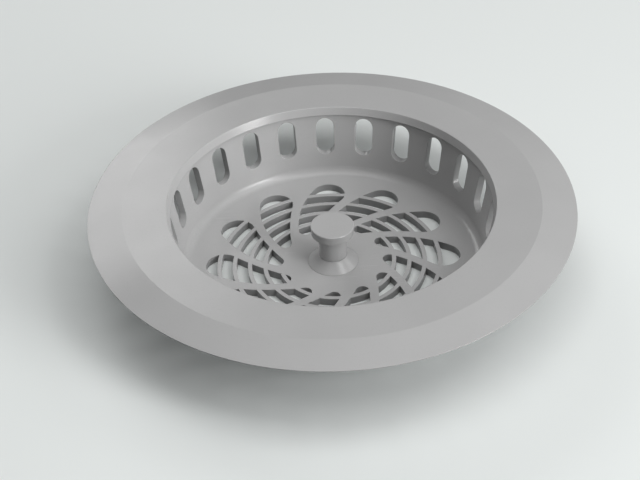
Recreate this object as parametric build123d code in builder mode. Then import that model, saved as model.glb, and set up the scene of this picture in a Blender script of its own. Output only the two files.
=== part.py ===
from build123d import *
import os
from math import cos, radians, sin, sqrt, tan

# Drop-in sink strainer with a wide rim and a turning knob
#
# A wide flat rim rests on the sink round the drain. A slotted basket hangs
# under it, with a grate of swirling petals in its floor, crossed by one
# continuous spiral rib. A knob on a post stands in the middle of the floor.
# The post turns in a conical boss, held from below by a screw and a washer.
#
# Lengths are in millimetres and angles in degrees. The origin is on the
# axis at the underside of the basket floor, and +Z points up the knob.

# Rim flange
flange_diameter = 114.0
flange_height = 20.4
rim_width = 18.55
rim_thickness = 1.75
rim_edge_thickness = 0.15
bevel_width = 8.1
lip_height = 2.0
lip_slope_width = 0.7
lip_foot_width = 0.75
seat_recess_depth = 0.5
crease_radius = 0.25

# Basket
basket_wall = 1.7
basket_floor = 2.0
basket_draft_angle = 9.5
basket_corner_radius = 2.2
basket_flange_width = 2.85
basket_flange_thickness = 1.5
basket_flange_lead_in = 0.5

# Slots round the basket wall
slot_count = 24
slot_width = 4.55
slot_length = 10.0
slot_top_gap = 1.45

# Petals of the floor grate
petal_count = 12
petal_border_width = 5.17
petal_web_width = 5.36
petal_root_distance = 13.45
petal_root_radius = 1.57
petal_twist_angle = 27.9
petal_back_radius = 27.5
petal_front_radius = 53.0

# Spiral rib across the petals
rib_width = 1.0
rib_pitch = 3.68
rib_start_radius = 12.89
rib_start_angle = 195.5
rib_quarter_turns = 17
rib_middle_offset = 0.38
rib_middle_angle = 277
smallest_opening_width = 0.8

# Knob
knob_top_height = 12.65
head_diameter = 10.35
head_thickness = 2.15
head_edge_chamfer = 0.15
head_side_taper = 0.1
post_diameter = 6.7
tenon_diameter = 4.5
tenon_length = 1.2
journal_diameter = 5.8

# Boss in the middle of the floor
boss_height = 2.0
boss_foot_diameter = 12.2
boss_land_width = 0.1
boss_spigot_diameter = 9.6

# Screw, washer and threaded insert
screw_shank_diameter = 2.4
screw_shank_length = 4.3
screw_head_diameter = 4.8
screw_head_height = 0.75
screw_recess = 0.1
driver_slot_width = 0.7
driver_slot_depth = 0.35
washer_diameter = 7.6
washer_thickness = 0.5
insert_diameter = 4.0
insert_length = 4.0
insert_waist_depth = 0.25
insert_waist_length = 0.8

# Clearances
seat_clearance = 0.05
running_clearance = 0.05
end_play = 0.05
thread_clearance = 0.05
washer_clearance = 0.3
cut_overrun = 1.0

# Radii and heights that follow from the sizes above
flange_radius = flange_diameter / 2
mouth_radius = flange_radius - rim_width
lip_radius = mouth_radius - lip_slope_width
lip_back_radius = lip_radius + lip_foot_width
rim_underside = flange_height - rim_thickness
lip_foot_height = flange_height - lip_height
seat_height = rim_underside + seat_recess_depth
draft = tan(radians(basket_draft_angle))
basket_mouth_radius = lip_back_radius + seat_clearance
basket_flange_radius = basket_mouth_radius + basket_wall + basket_flange_width
basket_flange_foot = seat_height - basket_flange_thickness
slot_centre_height = rim_underside - slot_top_gap - slot_length / 2
boss_top = basket_floor + boss_height
boss_foot_radius = boss_foot_diameter / 2
spigot_radius = boss_spigot_diameter / 2
post_radius = post_diameter / 2
post_shoulder = boss_top + end_play
head_radius = head_diameter / 2
head_underside = knob_top_height - head_thickness
tenon_radius = tenon_diameter / 2
journal_radius = journal_diameter / 2
journal_bore_radius = journal_radius + running_clearance
washer_underside = screw_recess + screw_head_height
journal_foot = washer_underside + washer_thickness
counterbore_top = journal_foot + end_play
counterbore_radius = washer_diameter / 2 + washer_clearance
shank_radius = screw_shank_diameter / 2
insert_radius = insert_diameter / 2
insert_top = journal_foot + insert_length

os.makedirs("parts", exist_ok=True)


def at_angle(distance, angle):
    """The point at a distance from the axis, at an angle round it."""
    return Vector(distance * cos(radians(angle)), distance * sin(radians(angle)))


def on_circle(middle, radius, direction):
    """The point where a circle meets the ray from its middle in a direction."""
    return middle + direction.normalized() * radius


def crossing(first, first_reach, second, second_reach):
    """The point at its own reach from each of two points, right of the way from first to second."""
    way = second - first
    along = (way.length**2 + first_reach**2 - second_reach**2) / (2 * way.length)
    across = sqrt(first_reach**2 - along**2)
    ahead = way.normalized()
    right = Vector(ahead.Y, -ahead.X)
    return first + ahead * along + right * across


def basket_inside(height):
    """The radius of the basket's drafted inner wall at a height."""
    return basket_mouth_radius - (lip_foot_height - height) * draft


def finish(piece, name):
    """Label a finished piece and write it to its own file."""
    piece.part.label = name
    export_step(piece.part, "parts/" + name + ".step")


# Rim flange
# A flat ring with a long bevel down to a thin outer edge, and a steep lip that
# overhangs the basket's wall. The basket's own flange sits in a shallow recess
# behind the lip.
with BuildPart() as rim_flange:
    with BuildSketch(Plane.XZ) as rim_profile:
        with BuildLine():
            Polyline(
                (flange_radius, rim_underside),
                (flange_radius, rim_underside + rim_edge_thickness),
                (flange_radius - bevel_width, flange_height),
                (mouth_radius, flange_height),
                (lip_radius, lip_foot_height),
                (lip_back_radius, lip_foot_height),
                (lip_back_radius, seat_height),
                (basket_flange_radius + seat_clearance, seat_height),
                (basket_flange_radius + seat_clearance, rim_underside),
                close=True,
            )
        make_face()
        fillet(rim_profile.vertices().group_by(Axis.Y)[-1], radius=crease_radius)
    revolve(axis=Axis.Z)
finish(rim_flange, "rim_flange")


# Petal opening
# A small round root near the knob and a larger round tip near the wall, joined
# by two flanks that touch both circles. The back flank bows outwards and the
# front flank bows inwards, and that gives the grate its swirl. The tips leave a
# plain border along the wall and a web between each two neighbours.
half_pitch_sine = sin(radians(180 / petal_count))
petal_outer_reach = basket_inside(basket_floor) - petal_border_width
petal_tip_distance = (petal_outer_reach + petal_web_width / 2) / (1 + half_pitch_sine)
petal_tip_radius = petal_outer_reach - petal_tip_distance
petal_root = at_angle(petal_root_distance, petal_twist_angle)
petal_tip = at_angle(petal_tip_distance, 0)
back_centre = crossing(
    petal_root,
    petal_back_radius - petal_root_radius,
    petal_tip,
    petal_back_radius - petal_tip_radius,
)
front_centre = crossing(
    petal_root,
    petal_front_radius + petal_root_radius,
    petal_tip,
    petal_front_radius + petal_tip_radius,
)
root_back = on_circle(petal_root, petal_root_radius, petal_root - back_centre)
root_end = on_circle(petal_root, petal_root_radius, petal_root - petal_tip)
root_front = on_circle(petal_root, petal_root_radius, front_centre - petal_root)
tip_back = on_circle(petal_tip, petal_tip_radius, petal_tip - back_centre)
tip_end = on_circle(petal_tip, petal_tip_radius, petal_tip - petal_root)
tip_front = on_circle(petal_tip, petal_tip_radius, front_centre - petal_tip)
back_chord_middle = (root_back + tip_back) / 2
front_chord_middle = (root_front + tip_front) / 2
back_middle = on_circle(back_centre, petal_back_radius, back_chord_middle - back_centre)
front_middle = on_circle(front_centre, petal_front_radius, front_chord_middle - front_centre)

with BuildSketch() as petal:
    with BuildLine():
        ThreePointArc(tip_back, tip_end, tip_front)
        ThreePointArc(tip_front, front_middle, root_front)
        ThreePointArc(root_front, root_end, root_back)
        ThreePointArc(root_back, back_middle, tip_back)
    make_face()


# Spiral rib
# Quarter circles about the corners of a small square, one corner after the
# other, run on into each other and grow by one pitch with each full turn. The
# spiral's middle lies a little in front of the knob's axis.
rib_middle = at_angle(rib_middle_offset, rib_middle_angle)
quarter_growth = rib_pitch / 4
with BuildSketch() as spiral_rib:
    with BuildLine():
        for quarter in range(rib_quarter_turns):
            turned = rib_start_angle + quarter * 90
            CenterArc(
                center=rib_middle + at_angle(quarter_growth / sqrt(2), turned + 135),
                radius=rib_start_radius + quarter_growth * (quarter + 0.5),
                start_angle=turned,
                arc_size=90,
            )
    trace(line_width=rib_width)


# Grate openings
# The petals go right through the floor, but the rib stays standing in them.
with BuildSketch() as petal_cells:
    with PolarLocations(0, petal_count):
        add(petal.sketch)
    add(spiral_rib.sketch, mode=Mode.SUBTRACT)

with BuildSketch() as grate_openings:
    for cell in petal_cells.faces():
        if cell.area > smallest_opening_width**2:
            add(cell)


# Slot cutter
# A round-ended bar that goes out through the basket wall on the +X side.
with BuildPart() as slot_cutter:
    with BuildSketch(Plane.YZ.offset(basket_inside(0) - cut_overrun)):
        with Locations((0, slot_centre_height)):
            SlotOverall(slot_length, slot_width, rotation=90)
    extrude(amount=basket_mouth_radius - basket_inside(0) + basket_wall + 2 * cut_overrun)


# Basket cup
# A drafted cup with an even wall and round corners. The flange at its mouth has
# a lead-in edge, sits in the rim's recess and drops into the drain opening.
with BuildPart() as basket_cup:
    with BuildSketch(Plane.XZ) as cup_profile:
        with BuildLine():
            Polyline(
                (basket_mouth_radius, lip_foot_height),
                (basket_mouth_radius, seat_height),
                (basket_flange_radius - basket_flange_lead_in, seat_height),
                (basket_flange_radius, rim_underside),
                (basket_flange_radius, basket_flange_foot),
                (basket_inside(basket_flange_foot) + basket_wall, basket_flange_foot),
                (basket_inside(0) + basket_wall, 0),
                (spigot_radius + seat_clearance, 0),
                (spigot_radius + seat_clearance, basket_floor),
                (basket_inside(basket_floor), basket_floor),
                close=True,
            )
        make_face()
        outer_corner = cup_profile.vertices().group_by(Axis.Y)[0].sort_by(Axis.X)[-1]
        fillet(outer_corner, radius=basket_corner_radius + basket_wall)
        inner_corner = cup_profile.vertices().filter_by_position(
            Axis.Y, basket_floor, basket_floor
        ).sort_by(Axis.X)[-1]
        fillet(inner_corner, radius=basket_corner_radius)
    revolve(axis=Axis.Z)
    with PolarLocations(0, slot_count):
        add(slot_cutter.part, mode=Mode.SUBTRACT)
    with BuildSketch():
        add(grate_openings.sketch)
    extrude(amount=basket_floor, mode=Mode.SUBTRACT)
finish(basket_cup, "basket_cup")


# Knob boss
# A cone on the floor with a spigot through it. Its bore guides the post's
# journal, and a counterbore from below hides the washer and the screw.
with BuildPart() as knob_boss:
    with BuildSketch(Plane.XZ):
        with BuildLine():
            Polyline(
                (journal_bore_radius, boss_top),
                (post_radius + boss_land_width, boss_top),
                (boss_foot_radius, basket_floor),
                (spigot_radius, basket_floor),
                (spigot_radius, 0),
                (counterbore_radius, 0),
                (counterbore_radius, counterbore_top),
                (journal_bore_radius, counterbore_top),
                close=True,
            )
        make_face()
    revolve(axis=Axis.Z)
finish(knob_boss, "knob_boss")


# Knob post
# A plain stem whose shoulder runs on the boss, with a tenon for the head above
# and a journal in the boss below, bored for the threaded insert.
with BuildPart() as knob_post:
    with BuildSketch(Plane.XZ):
        with BuildLine():
            Polyline(
                (0, head_underside + tenon_length),
                (tenon_radius, head_underside + tenon_length),
                (tenon_radius, head_underside),
                (post_radius, head_underside),
                (post_radius, post_shoulder),
                (journal_radius, post_shoulder),
                (journal_radius, journal_foot),
                (insert_radius + seat_clearance, journal_foot),
                (insert_radius + seat_clearance, insert_top),
                (0, insert_top),
                close=True,
            )
        make_face()
    revolve(axis=Axis.Z)
finish(knob_post, "knob_post")


# Knob head
# A flat round button with a crisp top edge and a blind socket for the tenon.
with BuildPart() as knob_head:
    with BuildSketch(Plane.XZ):
        with BuildLine():
            Polyline(
                (0, knob_top_height),
                (head_radius - head_edge_chamfer, knob_top_height),
                (head_radius, knob_top_height - head_edge_chamfer),
                (head_radius - head_side_taper, head_underside),
                (tenon_radius + seat_clearance, head_underside),
                (tenon_radius + seat_clearance, head_underside + tenon_length + seat_clearance),
                (0, head_underside + tenon_length + seat_clearance),
                close=True,
            )
        make_face()
    revolve(axis=Axis.Z)
finish(knob_head, "knob_head")


# Threaded insert
# A sleeve with a waist that keys it into the post.
with BuildPart() as thread_insert:
    with BuildSketch(Plane.XY.offset(journal_foot)):
        Circle(insert_radius)
        Circle(shank_radius + thread_clearance, mode=Mode.SUBTRACT)
    extrude(amount=insert_length)
    with BuildSketch(Plane.XY.offset(journal_foot + (insert_length - insert_waist_length) / 2)):
        Circle(insert_radius + cut_overrun)
        Circle(insert_radius - insert_waist_depth, mode=Mode.SUBTRACT)
    extrude(amount=insert_waist_length, mode=Mode.SUBTRACT)
finish(thread_insert, "thread_insert")


# Retaining washer
# It is wider than the boss's bore and turns with the post under it.
with BuildPart() as retaining_washer:
    with BuildSketch(Plane.XY.offset(washer_underside)):
        Circle(washer_diameter / 2)
        Circle(shank_radius + seat_clearance, mode=Mode.SUBTRACT)
    extrude(amount=washer_thickness)
finish(retaining_washer, "retaining_washer")


# Post screw
# A low round head with a driver slot, under a shank that ends in the insert.
with BuildPart() as post_screw:
    with BuildSketch(Plane.XY.offset(screw_recess)):
        Circle(screw_head_diameter / 2)
    extrude(amount=screw_head_height)
    with BuildSketch(Plane.XY.offset(washer_underside)):
        Circle(shank_radius)
    extrude(amount=screw_shank_length)
    with BuildSketch(Plane.XY.offset(screw_recess)):
        Rectangle(screw_head_diameter + cut_overrun, driver_slot_width)
    extrude(amount=driver_slot_depth, mode=Mode.SUBTRACT)
finish(post_screw, "post_screw")
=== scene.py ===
# %% [markdown]
# # A sink strainer
#
# This is a drop-in strainer for a kitchen sink: a wide rim that lies on the sink,
# a slotted basket under it with a grate of swirling petals in its floor, and a
# knob to lift and turn it by. The solid pieces come ready measured from CAD, so
# Blender's work here is the finish of each piece, the fine hardware, the light
# and the camera. Everything is in metres, in the CAD frame, with +Z up the knob.

import math

import bmesh
import bpy
from mathutils import Matrix, Vector


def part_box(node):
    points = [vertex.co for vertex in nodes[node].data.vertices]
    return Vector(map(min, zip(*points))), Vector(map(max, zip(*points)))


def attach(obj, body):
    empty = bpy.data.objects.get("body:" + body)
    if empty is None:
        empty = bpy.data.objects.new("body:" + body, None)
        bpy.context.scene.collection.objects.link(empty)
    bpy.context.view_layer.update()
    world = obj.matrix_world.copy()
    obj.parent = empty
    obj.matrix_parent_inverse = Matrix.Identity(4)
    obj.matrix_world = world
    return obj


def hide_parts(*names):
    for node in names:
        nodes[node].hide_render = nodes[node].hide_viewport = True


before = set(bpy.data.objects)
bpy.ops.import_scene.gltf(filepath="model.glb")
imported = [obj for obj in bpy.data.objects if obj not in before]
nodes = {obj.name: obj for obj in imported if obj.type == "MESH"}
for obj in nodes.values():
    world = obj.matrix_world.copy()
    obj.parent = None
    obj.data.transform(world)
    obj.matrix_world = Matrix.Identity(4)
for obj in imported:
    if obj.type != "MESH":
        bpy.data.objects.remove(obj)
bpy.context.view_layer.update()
mm = 0.001
print("pieces:", ", ".join(sorted(nodes)))

# %% [markdown]
# ## The camera
#
# A photograph tells where its camera stood: how flat the round rim looks gives
# the tilt, and how much larger its near side is than its far side gives the
# distance. The camera is turned round the strainer first, then tilted down,
# then rolled a little, and last moved back until the rim's middle lies where
# the photograph shows it.

# %% Camera
camera_turn = math.radians(-1.07)
camera_tilt = math.radians(90 - 38.425)
camera_roll = math.radians(-2.153)
rim_middle = Vector((0, 0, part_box("rim_flange")[1].z))
rim_middle_seen = Vector((2.6612, 9.6328, -372.692)) * mm

camera_data = bpy.data.cameras.new("photo_camera")
camera_data.lens = 89.83
camera_data.sensor_width = 36
camera_data.clip_start = 0.01
camera_data.clip_end = 50
camera = bpy.data.objects.new("photo_camera", camera_data)
bpy.context.scene.collection.objects.link(camera)
aim = (
    Matrix.Rotation(camera_turn, 3, "Z")
    @ Matrix.Rotation(camera_tilt, 3, "X")
    @ Matrix.Rotation(camera_roll, 3, "Z")
)
camera.matrix_world = Matrix.Translation(rim_middle - aim @ rim_middle_seen) @ aim.to_4x4()
bpy.context.scene.camera = camera
bpy.context.scene.view_settings.view_transform = "Standard"
print("camera stands at", tuple(round(x, 4) for x in camera.matrix_world.translation))

# %% [markdown]
# ## The light
#
# Soft light from large panels shows the form of a satin surface without hard
# shadows. Each panel is an area lamp that faces the strainer. Its place is
# given as a compass angle round the strainer and a height angle above the
# table, because that is how a light stand is moved in a studio. The photograph
# says where they stood: the bright streak on the lip at the back left mirrors a
# panel at the front right, the light facet on the cone under the knob mirrors
# the same side, and the bright bevel at the left faces a panel behind it.


# %% A softbox on a stand
def softbox(name, around, above, distance, wide, high, brightness):
    """An area lamp at a compass angle and a height angle, which faces the strainer."""
    data = bpy.data.lights.new(name, "AREA")
    data.shape = "RECTANGLE"
    data.size = wide
    data.size_y = high
    data.energy = brightness * math.pi * wide * high
    lamp = bpy.data.objects.new(name, data)
    bpy.context.scene.collection.objects.link(lamp)
    out = Vector(
        (
            math.cos(math.radians(around)) * math.cos(math.radians(above)),
            math.sin(math.radians(around)) * math.cos(math.radians(above)),
            math.sin(math.radians(above)),
        )
    )
    lamp.location = rim_middle + out * distance
    lamp.rotation_euler = out.to_track_quat("Z", "Y").to_euler()
    return lamp


print("softboxes face a point", round(rim_middle.z / mm, 1), "mm above the table")

# %% The softboxes round the strainer
# Each row: name, angle round, angle above, distance, width, height, brightness.
softboxes = [
    softbox("tall_key_softbox", -37, 29, 0.8, 0.24, 0.92, 4.4),
    softbox("low_key_softbox", -36, 16, 0.75, 0.34, 0.40, 7.2),
    softbox("right_softbox", 12, 40, 0.8, 0.26, 0.26, 2.1),
    softbox("front_softbox", -112, 52, 0.8, 0.50, 0.36, 1.0),
    softbox("back_softbox", 115, 29, 0.9, 0.50, 0.42, 2.9),
    softbox("top_softbox", -12, 81, 1.0, 0.56, 1.06, 2.25),
    softbox("under_softbox", 0, -89, 0.3, 0.5, 0.5, 0.2),
]
print("softboxes:", [lamp.name for lamp in softboxes])

# %% [markdown]
# ## Room light, floor and background
#
# The rest of the light comes evenly from the room. The floor is a plain pale
# sheet that keeps the strainer's soft shadow. Pale paper would throw a lot of
# light up through the grate, and the photograph's darker floor doesn't, so the
# Light Path node gives the paper its pale colour where it is looked at and a
# darker one where it only lights the strainer from below. Seen from below, the
# paper is clear, and a weak panel under it lights the underside, where the
# screw is.

# %% Room light
world = bpy.data.worlds.new("room")
bpy.context.scene.world = world
world.use_nodes = True
room_light = world.node_tree.nodes["Background"]
room_light.inputs["Color"].default_value = (1, 1, 1, 1)
room_light.inputs["Strength"].default_value = 0.08
print("room light", room_light.inputs["Strength"].default_value)

# %% [markdown]
# A material is a tree of nodes, and each node works out one small step of a
# colour, a roughness or a height. They could be placed by hand in the shader
# editor. A script that places them can be read from top to bottom, and the same
# helper gives three pieces the same finish, so a few short helpers come first.


# %% Nodes by name
def feed(tree, socket, value):
    """Joins a socket to another node, or sets it to a plain value."""
    if isinstance(value, bpy.types.NodeSocket):
        tree.links.new(value, socket)
    else:
        socket.default_value = value


def add_node(tree, kind, settings=None, **values):
    """A node of a kind, with its settings and the values of its named sockets."""
    node = tree.nodes.new(kind)
    for setting, value in (settings or {}).items():
        setattr(node, setting, value)
    for socket, value in values.items():
        feed(tree, node.inputs[socket.replace("_", " ")], value)
    return node


def new_material(name):
    """A node material, its tree and its shader."""
    material = bpy.data.materials.new(name)
    material.use_nodes = True
    return material, material.node_tree, material.node_tree.nodes["Principled BSDF"]


print("nodes can be placed and joined")


# %% Sums and blends
def maths(tree, operation, *numbers):
    """One sum on numbers or sockets."""
    node = add_node(tree, "ShaderNodeMath", {"operation": operation})
    for socket, number in zip(node.inputs, numbers):
        feed(tree, socket, number)
    return node.outputs[0]


def blend(tree, pattern, colour, other):
    """One colour where a pattern is 0, and the other where it is 1."""
    node = add_node(tree, "ShaderNodeMix", {"data_type": "RGBA"}, Factor=pattern)
    colours = [socket for socket in node.inputs if socket.type == "RGBA"]
    feed(tree, colours[0], colour)
    feed(tree, colours[1], other)
    return next(socket for socket in node.outputs if socket.type == "RGBA")


print("numbers and colours can be mixed")

# %% Floor
table_radius = 4
pale_paper_colour = (0.78, 0.81, 0.80, 1)
bounce_colour = (0.10, 0.11, 0.11, 1)

floor_mesh = bpy.data.meshes.new("table")
shape = bmesh.new()
bmesh.ops.create_circle(shape, cap_ends=True, segments=64, radius=table_radius)
shape.to_mesh(floor_mesh)
shape.free()
floor = bpy.data.objects.new("table", floor_mesh)
bpy.context.scene.collection.objects.link(floor)

paper, tree, shader = new_material("pale_paper")
ray = add_node(tree, "ShaderNodeLightPath")
seen = maths(tree, "MAXIMUM", ray.outputs["Is Camera Ray"], ray.outputs["Is Glossy Ray"])
seen = maths(tree, "MAXIMUM", seen, ray.outputs["Is Transmission Ray"])
feed(tree, shader.inputs["Base Color"], blend(tree, seen, bounce_colour, pale_paper_colour))
shader.inputs["Roughness"].default_value = 0.9
shader.inputs["Specular IOR Level"].default_value = 0.2
side = add_node(tree, "ShaderNodeNewGeometry")
see_through = maths(tree, "MAXIMUM", side.outputs["Backfacing"], ray.outputs["Is Shadow Ray"])
clear = add_node(tree, "ShaderNodeBsdfTransparent")
sheet = add_node(tree, "ShaderNodeMixShader")
feed(tree, sheet.inputs[0], see_through)
feed(tree, sheet.inputs[1], shader.outputs["BSDF"])
feed(tree, sheet.inputs[2], clear.outputs["BSDF"])
feed(tree, tree.nodes["Material Output"].inputs["Surface"], sheet.outputs["Shader"])
floor_mesh.materials.append(paper)
print("floor", tuple(round(x, 2) for x in floor.dimensions))

# %% [markdown]
# ## Patterns in real millimetres
#
# Grain, specks and scratches have a real size, so every pattern here is
# measured in millimetres. A piece's own coordinates are in metres and turn with
# the piece, so they only need to be multiplied by a thousand. A pattern that
# came from the camera or the room would slide over the knob as it turns.


# %% Coordinates and noise in millimetres
def piece_in_mm(tree):
    """The piece's own coordinates in millimetres."""
    place = add_node(tree, "ShaderNodeTexCoord")
    in_mm = add_node(tree, "ShaderNodeMapping", Vector=place.outputs["Object"])
    in_mm.inputs["Scale"].default_value = (1 / mm, 1 / mm, 1 / mm)
    return in_mm.outputs["Vector"]


def cloud(tree, where, across, detail=2):
    """Soft noise from 0 to 1, with spots about so many millimetres across."""
    noise = add_node(tree, "ShaderNodeTexNoise", Vector=where, Scale=1 / across, Detail=detail)
    return noise.outputs[0]


def values_between(tree, pattern, low, high, start=0.0, end=1.0):
    """Stretches a pattern's part from start to end into values from low to high."""
    stretched = add_node(
        tree,
        "ShaderNodeMapRange",
        Value=pattern,
        From_Min=start,
        From_Max=end,
        To_Min=low,
        To_Max=high,
    )
    return stretched.outputs[0]


print("patterns are measured in millimetres")

# %% [markdown]
# ## The colour of moulded plastic
#
# Grey plastic looks plain, but it is never one flat grey. The pigment flows
# into the mould in slow clouds, and it leaves fine specks. Both are faint here,
# two to four parts in a hundred, because a good moulding hides them well. They
# could be painted by hand, but noise that fills space needs no seams.

# %% Uneven pigment
cloud_across, cloud_dark, cloud_light = 17, 0.975, 1.02
speck_across, speck_dark, speck_share = 0.42, 0.93, 0.5


def shade_of(colour, brightness):
    """A lighter or darker shade of a colour, as a shader takes it."""
    return (*(min(1, part * brightness) for part in colour), 1)


def pigment(tree, where, colour):
    """A colour in slow faint clouds, with fine specks."""
    clouds = values_between(tree, cloud(tree, where, cloud_across), 0, 1, 0.3, 0.7)
    clouded = blend(tree, clouds, shade_of(colour, cloud_dark), shade_of(colour, cloud_light))
    specks = cloud(tree, where, speck_across, 1)
    specks = values_between(tree, specks, 0, speck_share, 0.6, 0.75)
    return blend(tree, specks, clouded, shade_of(colour, speck_dark))


print("pigment clouds", cloud_across, "mm, specks", speck_across, "mm")

# %% [markdown]
# ## Rounded and worn edges
#
# No moulded edge is as sharp as a CAD edge. The Bevel node bends the light as
# if each edge had a small radius, without a change to the mesh. Where the bent
# direction leaves the real one there is an edge, and that makes a mask: hands
# and cleaning cloths rub edges first, so they are a little lighter and
# smoother. The Ambient Occlusion node finds the opposite, the inside corners.
# The deeper the corner, the darker it is painted, which is painted shade, and
# the duller it is, from grime that a cloth doesn't reach.

# %% Edges and corners
edge_radius = 0.14 * mm
edge_from, edge_to = 0.9, 0.995
corner_reach = 2.4 * mm
corner_from, corner_to = 0.45, 0.85


def worn_edges(tree):
    """The direction of a surface with rounded edges, and a mask of those edges."""
    rounded = add_node(tree, "ShaderNodeBevel", {"samples": 6}, Radius=edge_radius)
    surface = add_node(tree, "ShaderNodeNewGeometry")
    turned = add_node(tree, "ShaderNodeVectorMath", {"operation": "DOT_PRODUCT"})
    feed(tree, turned.inputs[0], rounded.outputs["Normal"])
    feed(tree, turned.inputs[1], surface.outputs["Normal"])
    edge = values_between(tree, turned.outputs["Value"], 1, 0, edge_from, edge_to)
    return rounded.outputs["Normal"], edge


def inside_corners(tree):
    """A mask that is 1 deep in the inside corners of a piece and 0 in the open."""
    nearby = add_node(
        tree,
        "ShaderNodeAmbientOcclusion",
        {"samples": 6, "only_local": True},
        Distance=corner_reach,
    )
    return values_between(tree, nearby.outputs["AO"], 1, 0, corner_from, corner_to)


print("edges are rounded to", edge_radius / mm, "mm")

# %% [markdown]
# ## The skin of the plastic
#
# The mould gives the plastic its skin: slow waves from the way it cools, called
# orange peel, and a fine grain from the satin polish of the steel. Later come
# hairlines from cloths and cutlery. The heights are a few thousandths of a
# millimetre, which is enough to break up a highlight and too little to see as
# a shape.

# %% Orange peel, grain and hairlines
peel_across, peel_height = 2.1, 0.006
grain_across, grain_height = 0.16, 0.0016
hairline_length, hairline_across, hairline_depth = 9, 0.16, 0.0022
hairline_patch = 11


def hairlines(tree, where, turn):
    """Fine straight scratches that mostly run one way, from 0 to 1."""
    along = add_node(tree, "ShaderNodeMapping", Vector=where)
    along.inputs["Rotation"].default_value = (0, 0, math.radians(turn))
    along.inputs["Scale"].default_value = (hairline_across / hairline_length, 1, 1)
    streaks = cloud(tree, along.outputs["Vector"], hairline_across, 0)
    patches = cloud(tree, where, hairline_patch, 1)
    lines = values_between(tree, streaks, 0, 1, 0.72, 0.8)
    patches = values_between(tree, patches, 0, 1, 0.35, 0.85)
    return maths(tree, "MULTIPLY", lines, patches)


def moulded_skin(tree, where, scratches):
    """The height of the skin in millimetres."""
    peel = maths(tree, "MULTIPLY", cloud(tree, where, peel_across, 1), peel_height)
    grain = maths(tree, "MULTIPLY", cloud(tree, where, grain_across, 1), grain_height)
    scratched = maths(tree, "MULTIPLY", scratches, -hairline_depth)
    return maths(tree, "ADD", maths(tree, "ADD", peel, grain), scratched)


print("orange peel", peel_height, "mm high, hairlines", hairline_depth, "mm deep")

# %% [markdown]
# ## Marks of the mould
#
# Pins push a moulding out of its mould, and each leaves a shallow round mark on
# the side that nobody looks at. The rim and the basket have a ring of them
# underneath. They could be cut into the mesh, but they are only a few
# hundredths of a millimetre deep, so a ring of heights does it: the angle round
# the axis is folded until every mark falls on the first one, and the distance
# from that mark's middle gives its edge.


# %% Ejector pin marks
pin_edge = 0.08
down_from = -0.9


def distance(tree, across, along):
    """How far a point lies from the middle, from its two coordinates."""
    squares = [maths(tree, "POWER", part, 2) for part in (across, along)]
    return maths(tree, "SQRT", maths(tree, "ADD", *squares))


def pin_marks(tree, where, count, ring_radius, across, depth):
    """The height in millimetres of round marks in a ring on faces that look down."""
    spot = add_node(tree, "ShaderNodeSeparateXYZ", Vector=where)
    x, y = spot.outputs["X"], spot.outputs["Y"]
    reach = distance(tree, x, y)
    folded = maths(tree, "PINGPONG", maths(tree, "ARCTAN2", y, x), math.pi / count)
    sideways = maths(tree, "MULTIPLY", reach, folded)
    outwards = maths(tree, "SUBTRACT", reach, ring_radius)
    away = distance(tree, sideways, outwards)
    sunk = values_between(tree, away, -depth, 0, across / 2 - pin_edge, across / 2 + pin_edge)
    own = add_node(tree, "ShaderNodeTexCoord")
    facing = add_node(tree, "ShaderNodeSeparateXYZ", Vector=own.outputs["Normal"])
    looks_down = maths(tree, "LESS_THAN", facing.outputs["Z"], down_from)
    return maths(tree, "MULTIPLY", sunk, looks_down)


print("pin marks have an edge of", pin_edge, "mm")

# %% [markdown]
# ## Painted shade in the grate
#
# The walls of the grate's openings lie in shade inside the basket's floor, so
# they are painted darker than the floor round them. This is painted shade, and
# it leaves their polish as it is. It could be painted on each wall, but all of
# them lie between the same two heights, so a mask of the height finds them at
# once, out to the tips of the petals.

# %% Painted shade on the walls of the openings
grate_shade_fade = 0.15


def grate_painted_shade(tree, where, reach, low, high):
    """A mask of the walls between two heights, within a reach of the middle."""
    spot = add_node(tree, "ShaderNodeSeparateXYZ", Vector=where)
    away = distance(tree, spot.outputs["X"], spot.outputs["Y"])
    near = values_between(tree, away, 1, 0, reach, reach + grate_shade_fade)
    above = values_between(tree, spot.outputs["Z"], 0, 1, low, low + grate_shade_fade)
    below = values_between(tree, spot.outputs["Z"], 1, 0, high - grate_shade_fade, high)
    return maths(tree, "MULTIPLY", near, maths(tree, "MULTIPLY", above, below))


print("the film fades out over", grate_shade_fade, "mm")

# %% [markdown]
# ## Satin plastic
#
# All of that goes into one finish. The rim, the basket and the knob are the
# same grey, but not the same moulding, so each gets its own copy with its own
# colour and polish. The masks come first: how much each mask tints the grey,
# how light or dark that tint is, and how much rougher or smoother it leaves the
# surface. Lighter edges and hairlines are wear. The darker inside corners and
# walls of the grate are painted shade.

# %% How the plastic wears
worn_share, worn_shade, worn_polish = 0.5, 1.12, 0.04
scratch_share, scratch_dull = 0.12, 0.08
# Inside corners get painted shade, darker towards the deepest corner, and a duller polish from
# grime.
painted_corner_share, painted_corner_shade, corner_dull = 0.9, 0.4, 0.12
# The walls of the grate's openings get painted shade.
grate_shade_share, painted_grate_shade_tone = 0.9, 0.68
sheen_across, sheen_swing = 6, 0.03
scratch_turns = (24, 131)
print("inside corners are tinted", painted_corner_share, "of the way to a shade of", painted_corner_shade)


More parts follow.
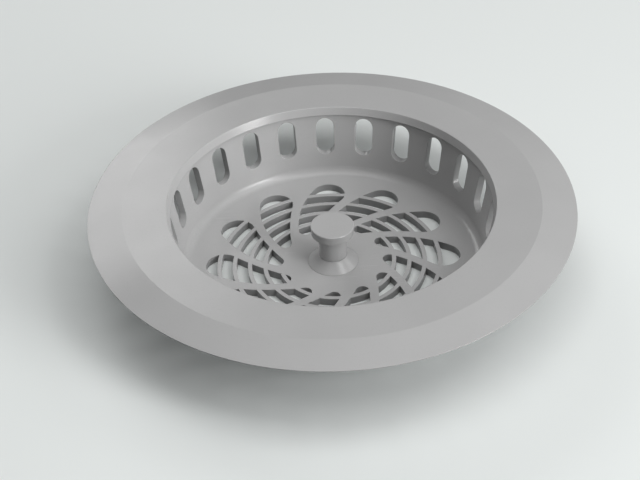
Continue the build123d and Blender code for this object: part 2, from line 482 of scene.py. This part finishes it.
# %% Satin plastic
def satin_plastic(name, colour, roughness, pins=None, grate_shade=None):
    """A satin moulded plastic, with pin marks and painted shade in a grate if they are given."""
    material, tree, shader = new_material(name)
    where = piece_in_mm(tree)
    rounded, edge = worn_edges(tree)
    corner = inside_corners(tree)
    scratches = maths(tree, "MAXIMUM", *(hairlines(tree, where, turn) for turn in scratch_turns))

    grey = pigment(tree, where, colour)
    tints = [
        (edge, worn_share, worn_shade),
        (scratches, scratch_share, worn_shade),
        # The inside corners are painted darker: painted shade.
        (corner, painted_corner_share, painted_corner_shade),
    ]
    # The walls of the grate's openings are painted darker: painted shade.
    if grate_shade:
        tints.append((grate_painted_shade(tree, where, *grate_shade), grate_shade_share, painted_grate_shade_tone))
    for mask, share, shade in tints:
        grey = blend(tree, maths(tree, "MULTIPLY", mask, share), grey, shade_of(colour, shade))
    feed(tree, shader.inputs["Base Color"], grey)

    low, high = roughness - sheen_swing, roughness + sheen_swing
    sheen = values_between(tree, cloud(tree, where, sheen_across), low, high, 0.3, 0.7)
    for mask, rougher in ((corner, corner_dull), (scratches, scratch_dull), (edge, -worn_polish)):
        sheen = maths(tree, "ADD", sheen, maths(tree, "MULTIPLY", mask, rougher))
    feed(tree, shader.inputs["Roughness"], sheen)

    height = moulded_skin(tree, where, scratches)
    if pins:
        height = maths(tree, "ADD", height, pin_marks(tree, where, *pins))
    skin = add_node(tree, "ShaderNodeBump", Height=height, Distance=mm, Normal=rounded)
    feed(tree, shader.inputs["Normal"], skin.outputs["Normal"])
    return material


print("satin plastic is ready")

# %% [markdown]
# Every moulding is the same grey plastic. The basket's grey is set a little
# lighter than the rim's, as painted light that makes up for the shade inside
# the basket. So the rim, the basket and the knob each get their own shade and
# polish, and the knob, which fingers keep smooth, is the glossiest. They could
# share one material, but then no piece could be given another polish alone.


# %% Finishes on the CAD pieces
def finish_with(material, *names):
    """Gives CAD pieces this material."""
    for name in names:
        nodes[name].data.materials.clear()
        nodes[name].data.materials.append(material)


print("a finish takes the place of a CAD piece's plain material")

# %% The three greys
# The basket's grey is lighter than the rim's as painted light, for the shade inside the basket.
rim_grey, basket_grey_with_painted_light, knob_grey = (0.42,) * 3, (0.44,) * 3, (0.43,) * 3
rim_roughness, basket_roughness, knob_roughness = 0.2, 0.22, 0.17
# Pins: how many, how far out, how wide, how deep. Painted shade in the grate: how far out, from,
# to.
rim_pins = (8, 48.4, 4.2, 0.03)
basket_pins = (12, 32.3, 2.2, 0.03)
basket_grate_shade = (31.5, 0.1, 1.9)

rim_plastic = satin_plastic("rim_plastic", rim_grey, rim_roughness, rim_pins)
basket_plastic = satin_plastic(
    "basket_plastic", basket_grey_with_painted_light, basket_roughness, basket_pins, basket_grate_shade
)
knob_plastic = satin_plastic("knob_plastic", knob_grey, knob_roughness)
finish_with(rim_plastic, "rim_flange")
finish_with(basket_plastic, "basket_cup", "knob_boss")
finish_with(knob_plastic, "knob_post", "knob_head")
print("plastic finishes:", rim_plastic.name, basket_plastic.name, knob_plastic.name)

# %% [markdown]
# ## Turned metal
#
# The screw, its washer and the brass sleeve in the post are turned on a lathe,
# and a lathe leaves fine rings. The rings follow the distance from the axis and
# the height, so the same pattern runs round a flat face and round a shank. They
# could be cut into the mesh, but grooves of a few thousandths of a millimetre
# are only seen in how they bend the light, so a bump does it.

# %% Turned metal
rings_per_mm, groove_height = 11, 0.0025
stain_across, stain_share, stain_dull = 1.2, 0.7, 0.12
bright_share, bright_shade = 0.6, 1.1


def turned_metal(name, colour, roughness, tarnish):
    """A lathe-turned metal with fine rings, darker where it is tarnished."""
    material, tree, shader = new_material(name)
    where = piece_in_mm(tree)
    spot = add_node(tree, "ShaderNodeSeparateXYZ", Vector=where)
    x, y, z = spot.outputs
    rings = add_node(
        tree,
        "ShaderNodeTexNoise",
        {"noise_dimensions": "1D"},
        W=maths(tree, "ADD", distance(tree, x, y), z),
        Scale=rings_per_mm,
        Detail=2,
    )
    rounded, edge = worn_edges(tree)
    stains = values_between(tree, cloud(tree, where, stain_across), 0, stain_share, 0.45, 0.75)
    dirt = maths(tree, "MAXIMUM", stains, inside_corners(tree))
    tone = blend(tree, dirt, shade_of(colour, 1), shade_of(colour, tarnish))
    bright = maths(tree, "MULTIPLY", edge, bright_share)
    tone = blend(tree, bright, tone, shade_of(colour, bright_shade))
    feed(tree, shader.inputs["Base Color"], tone)
    polish = values_between(tree, rings.outputs[0], roughness - 0.06, roughness + 0.08, 0.3, 0.7)
    polish = maths(tree, "ADD", polish, maths(tree, "MULTIPLY", stains, stain_dull))
    feed(tree, shader.inputs["Roughness"], polish)
    shader.inputs["Metallic"].default_value = 1
    grooves = maths(tree, "MULTIPLY", rings.outputs[0], groove_height)
    turned = add_node(tree, "ShaderNodeBump", Height=grooves, Distance=mm, Normal=rounded)
    feed(tree, shader.inputs["Normal"], turned.outputs["Normal"])
    return material


steel = turned_metal("stainless_steel", (0.6, 0.6, 0.59), 0.3, 0.72)
brass = turned_metal("insert_brass", (0.7, 0.55, 0.28), 0.34, 0.5)
finish_with(steel, "post_screw", "retaining_washer")
finish_with(brass, "thread_insert")
print("metal finishes:", steel.name, brass.name)

# %% [markdown]
# ## The post screw
#
# The CAD screw is plain: its shank is a cylinder, because a thread would only
# slow the motion checks down. The real one is a small slotted screw with a
# rolled thread. A lathe turns a section round an axis, and the spin operator
# does the same, so the head and the shank start as half a section. The thread
# is the same operator with a rise at every step, which makes a helix.


# %% Turning a section
def turn_section(shape, section, steps):
    """Turns a section of (radius, height) points in metres once round the axis."""
    points = [shape.verts.new((radius, 0, height)) for radius, height in section]
    edges = [shape.edges.new(pair) for pair in zip(points, points[1:])]
    bmesh.ops.spin(
        shape,
        geom=points + edges,
        cent=(0, 0, 0),
        axis=(0, 0, 1),
        angle=math.radians(360),
        steps=steps,
        use_merge=True,
    )


print("a section is turned in steps, as a lathe turns it")

# %% The screw's size, from its CAD piece
screw_low, screw_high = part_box("post_screw")
head_radius = screw_high.x
head_height = 0.75 * mm
shank_radius = 1.2 * mm
thread_pitch = 0.45 * mm
thread_depth = 0.24 * mm
core_radius = shank_radius - thread_depth
head_edge = 0.12 * mm
shank_foot = screw_low.z + head_height
driver_slot_width = 0.7 * mm
driver_slot_depth = 0.35 * mm
print("screw head and shank", [round(2 * r / mm, 2) for r in (head_radius, shank_radius)], "mm")

# %% Head and shank in one turning
screw = bmesh.new()
turn_section(
    screw,
    [
        (0, screw_low.z),
        (head_radius - 2.4 * head_edge, screw_low.z),
        (head_radius - head_edge, screw_low.z + 0.35 * head_edge),
        (head_radius - 0.3 * head_edge, screw_low.z + head_edge),
        (head_radius, screw_low.z + 2.2 * head_edge),
        (head_radius, shank_foot - 0.4 * head_edge),
        (head_radius - 0.4 * head_edge, shank_foot),
        (shank_radius + 0.5 * head_edge, shank_foot),
        (core_radius, shank_foot + 0.5 * head_edge),
        (core_radius, screw_high.z - 0.5 * thread_depth),
        (core_radius - 0.5 * thread_depth, screw_high.z),
        (0, screw_high.z),
    ],
    steps=72,
)
print("turned screw", len(screw.faces), "faces")

# %% [markdown]
# The driver slot is a straight cut across the head. A Boolean modifier takes a
# block away from the turned screw and closes the cut by itself. It is applied
# before the thread goes on, because it wants one closed shape to cut.

# %% Cutting a slot
weld_distance = 0.0004 * mm


def cut_block(shape, low, high):
    """The shape with a block taken out of it."""
    turned = bpy.data.objects.new("turned", bpy.data.meshes.new("turned"))
    cutter = bpy.data.objects.new("cutter", bpy.data.meshes.new("cutter"))
    bmesh.ops.remove_doubles(shape, verts=shape.verts, dist=weld_distance)
    bmesh.ops.recalc_face_normals(shape, faces=shape.faces)
    shape.to_mesh(turned.data)
    shape.free()
    block = bmesh.new()
    bmesh.ops.create_cube(block, size=1)
    bmesh.ops.scale(block, vec=high - low, verts=block.verts)
    bmesh.ops.translate(block, vec=(high + low) / 2, verts=block.verts)
    block.to_mesh(cutter.data)
    block.free()
    for part in (turned, cutter):
        bpy.context.scene.collection.objects.link(part)
    cut = turned.modifiers.new("driver_slot", "BOOLEAN")
    cut.operation = "DIFFERENCE"
    cut.solver = "EXACT"
    cut.object = cutter
    left = bmesh.new()
    left.from_object(turned, bpy.context.evaluated_depsgraph_get())
    bpy.data.objects.remove(turned)
    bpy.data.objects.remove(cutter)
    return left


print("corners closer than", weld_distance / mm, "mm are welded before a cut")

# %% Driver slot
slot_end = head_radius + head_edge
screw = cut_block(
    screw,
    Vector((-slot_end, -driver_slot_width / 2, screw_low.z - head_edge)),
    Vector((slot_end, driver_slot_width / 2, screw_low.z + driver_slot_depth)),
)
print("slotted screw", len(screw.faces), "faces")

# %% [markdown]
# A thread could be a picture of slanting lines, but its outline is what the eye
# looks for in a screw, so it is a real ridge. Its section is a low blunt wedge
# that stands a little inside the core, so that no gap opens between the two. A
# finished shape is welded, gets its metal, and is put on the knob's body in
# place of the CAD screw.


# %% Winding a thread
def wind_thread(shape, section, start, turns, pitch, steps=36):
    """Winds a thread's section of (radius, height) points up a helix."""
    points = [shape.verts.new((radius, 0, start + height)) for radius, height in section]
    face = shape.faces.new(points)
    bmesh.ops.spin(
        shape,
        geom=[face, *face.edges, *points],
        cent=(0, 0, 0),
        axis=(0, 0, 1),
        dvec=(0, 0, pitch / steps),
        angle=math.radians(360 * turns),
        steps=round(steps * turns),
    )


print("a thread rises by its pitch in each turn")

# %% A finished piece
sharp_angle = math.radians(35)


def new_piece(name, shape, material, body, slot, *stands_for):
    """Closes a bmesh into a piece with its finish, which rides on a body."""
    bmesh.ops.remove_doubles(shape, verts=shape.verts, dist=weld_distance)
    bmesh.ops.recalc_face_normals(shape, faces=shape.faces)
    mesh = bpy.data.meshes.new(name)
    shape.to_mesh(mesh)
    shape.free()
    mesh.materials.append(material)
    mesh.shade_smooth()
    mesh.set_sharp_from_angle(angle=sharp_angle)
    piece = bpy.data.objects.new(name, mesh)
    bpy.context.scene.collection.objects.link(piece)
    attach(piece, body)
    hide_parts(*stands_for)
    return piece


print("edges sharper than", round(math.degrees(sharp_angle)), "degrees stay crisp")

# %% Thread
flank = 0.42 * thread_pitch
crest = 0.06 * thread_pitch
thread_start = shank_foot + 0.6 * thread_pitch
thread_turns = (screw_high.z - thread_start - thread_depth) / thread_pitch - 0.5
wind_thread(
    screw,
    [
        (core_radius - 0.1 * thread_depth, -flank),
        (shank_radius, -crest),
        (shank_radius, crest),
        (core_radius - 0.1 * thread_depth, flank),
    ],
    thread_start,
    thread_turns,
    thread_pitch,
)
slotted_screw = new_piece("slotted_screw", screw, steel, "knob", "stainless_steel", "post_screw")
print("thread turns", round(thread_turns, 1), "faces", len(slotted_screw.data.polygons))

# %% [markdown]
# ## The threaded insert
#
# The brass sleeve is pressed into the plastic post and must not turn there, so
# its outside is knurled: two bands of slanting teeth with a waist between them
# that the plastic flows into. A toothed ring is a circle with every second
# corner pulled out. Extruded upwards in short turned steps, it makes the
# slanting teeth, and the second band slants the other way.

# %% The sleeve's size, from its CAD piece
sleeve_low, sleeve_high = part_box("thread_insert")
sleeve_radius = sleeve_high.x
bore_radius = 1.25 * mm
tooth_count = 32
tooth_height = 0.16 * mm
waist_depth = 0.25 * mm
waist_height = 0.8 * mm
band_height = (sleeve_high.z - sleeve_low.z - waist_height) / 2
print("sleeve", round(2 * sleeve_radius / mm, 2), "mm across")
print("bands", round(band_height / mm, 2), "mm high")


# %% Toothed bands
def ring_of_teeth(shape, radius, height):
    """A circle with every second corner pulled out, as its edges in order."""
    made = bmesh.ops.create_circle(shape, segments=2 * tooth_count, radius=radius - tooth_height)
    corners = made["verts"]
    pull = radius / (radius - tooth_height)
    bmesh.ops.scale(shape, vec=(pull, pull, 1), verts=corners[::2])
    bmesh.ops.translate(shape, vec=(0, 0, height), verts=corners)
    return list(dict.fromkeys(edge for corner in corners for edge in corner.link_edges))


def lift_ring(shape, edges, rise, turn=0.0, grow=1.0):
    """Extrudes a ring of edges up, turned and grown as it goes."""
    made = bmesh.ops.extrude_edge_only(shape, edges=edges)["geom"]
    corners = [part for part in made if isinstance(part, bmesh.types.BMVert)]
    bmesh.ops.translate(shape, vec=(0, 0, rise), verts=corners)
    bmesh.ops.rotate(shape, cent=(0, 0, 0), matrix=Matrix.Rotation(turn, 3, "Z"), verts=corners)
    bmesh.ops.scale(shape, vec=(grow, grow, 1), verts=corners)
    return [part for part in made if isinstance(part, bmesh.types.BMEdge)]


print("a ring has", tooth_count, "teeth of", round(tooth_height / mm, 2), "mm")

# %% The knurled outside
sleeve = bmesh.new()
slant = math.radians(4)
chamfer = 0.2 * mm
lead = (sleeve_radius - chamfer) / sleeve_radius
waist = (sleeve_radius - waist_depth) / sleeve_radius
ring = ring_of_teeth(sleeve, sleeve_radius * lead, sleeve_low.z)
foot = ring
for rise, turn, grow in (
    (chamfer, slant, 1 / lead),
    (band_height / 2 - chamfer, slant, 1),
    (band_height / 2 - chamfer / 2, slant, 1),
    (chamfer / 2, 0, waist),
    (waist_height, 0, 1),
    (chamfer / 2, 0, 1 / waist),
    (band_height / 2 - chamfer / 2, -slant, 1),
    (band_height / 2 - chamfer, -slant, 1),
    (chamfer, -slant, lead),
):
    ring = lift_ring(sleeve, ring, rise, turn, grow)
print("sleeve outside", len(sleeve.faces), "faces")

# %% [markdown]
# The bore is a second ring of the same number of corners. Bridging the outer
# ring to it closes each end, and the screw's own thread shows what the bore's
# thread has to be: the same pitch, cut between the screw's ridges.

# %% Bore and ends
bore_ridge_top = core_radius + 0.05 * mm
bore_ridge_foot = bore_radius + 0.02 * mm
bore_flank = 0.7 * flank
bore_rings = []
for height in (sleeve_low.z, sleeve_high.z):
    circle = bmesh.ops.create_circle(sleeve, segments=2 * tooth_count, radius=bore_radius)["verts"]
    bmesh.ops.translate(sleeve, vec=(0, 0, height), verts=circle)
    bore_rings.append(list(dict.fromkeys(edge for corner in circle for edge in corner.link_edges)))
bmesh.ops.bridge_loops(sleeve, edges=foot + bore_rings[0])
bmesh.ops.bridge_loops(sleeve, edges=ring + bore_rings[1])
bmesh.ops.bridge_loops(sleeve, edges=bore_rings[0] + bore_rings[1])
bore_thread_turns = math.floor((sleeve_high.z - sleeve_low.z) / thread_pitch) - 1
whole_turns_below = math.ceil((sleeve_low.z - thread_start) / thread_pitch)
bore_thread_start = thread_start + (whole_turns_below + 0.5) * thread_pitch
wind_thread(
    sleeve,
    [
        (bore_ridge_foot, -bore_flank),
        (bore_ridge_top, -crest),
        (bore_ridge_top, crest),
        (bore_ridge_foot, bore_flank),
    ],
    bore_thread_start,
    bore_thread_turns,
    thread_pitch,
)
knurled_sleeve = new_piece(
    "knurled_sleeve", sleeve, brass, "knob", "insert_brass", "thread_insert"
)
print("knurled sleeve", len(knurled_sleeve.data.polygons), "faces")
